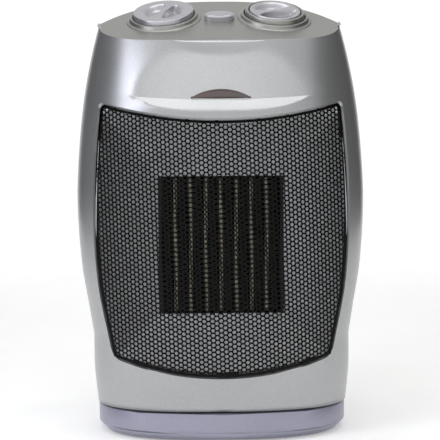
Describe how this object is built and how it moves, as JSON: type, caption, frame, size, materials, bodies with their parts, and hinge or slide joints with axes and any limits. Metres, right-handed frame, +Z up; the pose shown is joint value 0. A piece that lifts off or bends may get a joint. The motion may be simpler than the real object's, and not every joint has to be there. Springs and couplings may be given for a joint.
{
  "type": "ceramic space heater",
  "caption": "Oscillating ceramic fan heater: oval base and swinging silver head, with a perforated front grille over a ducted ceramic element, two dials and a button on a sloping deck.",
  "frame": {"origin": "on the floor, under the middle of the heater", "axes": "+Z up, -Y out of the air outlet, +X to the right seen from the front"},
  "size_m": [0.185, 0.1362, 0.2785],
  "materials": {
    "silver_shell": "metallic silver paint over moulded ABS, satin",
    "silver_deck": "metallic silver paint, satin",
    "silver_dial": "metallic silver paint, satin",
    "lavender_base": "lavender-grey moulded plastic, satin",
    "black_grille": "black powder coat on perforated steel",
    "bright_sheet": "bright rolled sheet",
    "plated_steel": "zinc plated",
    "dark_fins": "dark coated corrugated fins",
    "ceramic_stone": "fired ceramic heating stones in a foil sleeve",
    "black_moulding": "black heat-resistant moulding",
    "cream_moulding": "undyed nylon",
    "black_rubber": "matte",
    "brass": "turned",
    "lamp_glass": "clear glass neon",
    "red_lens": "polished dark red tinted plastic"
  },
  "bodies": {
    "base": {"base_shell": "lavender_base", "base_plate": "black_moulding", "foot_1": "black_rubber", "foot_2": "black_rubber", "foot_3": "black_rubber", "foot_4": "black_rubber", "tip_switch": "black_moulding", "plunger_spring": "plated_steel"},
    "head": {"front_shell": "silver_shell", "rear_shell": "silver_shell", "top_deck": "silver_deck", "indicator_lens": "red_lens", "neon_lamp": "lamp_glass", "front_grille": "black_grille", "outlet_funnel": "bright_sheet", "ptc_frame": "black_moulding", "fin_strip_1": "dark_fins", "fin_strip_2": "dark_fins", "fin_strip_3": "dark_fins", "fin_strip_4": "dark_fins", "fin_strip_5": "dark_fins", "fin_strip_6": "dark_fins", "fin_strip_7": "dark_fins", "fin_strip_8": "dark_fins", "ceramic_bar_1": "ceramic_stone", "ceramic_bar_2": "ceramic_stone", "ceramic_bar_3": "ceramic_stone", "ceramic_bar_4": "ceramic_stone", "ceramic_bar_5": "ceramic_stone", "ceramic_bar_6": "ceramic_stone", "ceramic_bar_7": "ceramic_stone", "thermal_cutout": "plated_steel", "fan_shroud": "black_moulding", "motor_bracket": "plated_steel", "fan_motor": "plated_steel", "dust_screen": "black_moulding", "cord_gland": "black_rubber", "case_screw_1": "plated_steel", "case_screw_2": "plated_steel", "case_screw_3": "plated_steel", "case_screw_4": "plated_steel", "rotary_switch": "cream_moulding", "thermostat_body": "cream_moulding", "thermostat_bezel": "silver_deck", "swing_switch": "cream_moulding", "head_floor": "black_moulding", "swivel_washer": "plated_steel", "swing_motor": "plated_steel"},
    "fan": {"fan_impeller": "black_moulding", "motor_shaft": "plated_steel", "impeller_cap": "brass"},
    "mode_dial": {"mode_knob": "silver_dial", "mode_shaft": "brass"},
    "thermostat_dial": {"thermostat_knob": "silver_dial", "thermostat_shaft": "brass"},
    "button": {"swing_button": "silver_dial"},
    "crank": {"swing_crank": "cream_moulding"},
    "plunger": {"tip_plunger": "cream_moulding"}
  },
  "joints": [
    {"name": "head_swing", "type": "hinge", "parent": "base", "child": "head", "pos_m": [0, 0, 0.02], "axis": [0, 0, 1], "range_deg": [-28, 28]},
    {"name": "fan_spin", "type": "hinge", "parent": "head", "child": "fan", "pos_m": [0, 0.012, 0.1215], "axis": [0, -1, 0], "continuous": true},
    {"name": "mode_turn", "type": "hinge", "parent": "head", "child": "mode_dial", "pos_m": [-0.0353, -0.016, 0.26578], "axis": [-0.0629, -0.4168, 0.9068], "range_deg": [-135, 0]},
    {"name": "thermostat_turn", "type": "hinge", "parent": "head", "child": "thermostat_dial", "pos_m": [0.0353, -0.016, 0.26578], "axis": [0.0629, -0.4168, 0.9068], "range_deg": [-150, 120]},
    {"name": "button_press", "type": "slide", "parent": "head", "child": "button", "axis": [0, -0.4177, 0.9086], "range_m": [-0.003, 0], "stiffness_N_per_m": 300},
    {"name": "crank_turn", "type": "hinge", "parent": "head", "child": "crank", "pos_m": [0, 0.03, 0.018], "axis": [0, 0, 1], "continuous": true},
    {"name": "plunger_drop", "type": "slide", "parent": "base", "child": "plunger", "axis": [0, 0, 1], "range_m": [-0.006, 0], "stiffness_N_per_m": 50, "springref_m": -0.006, "deforming": ["plunger_spring"]}
  ]
}
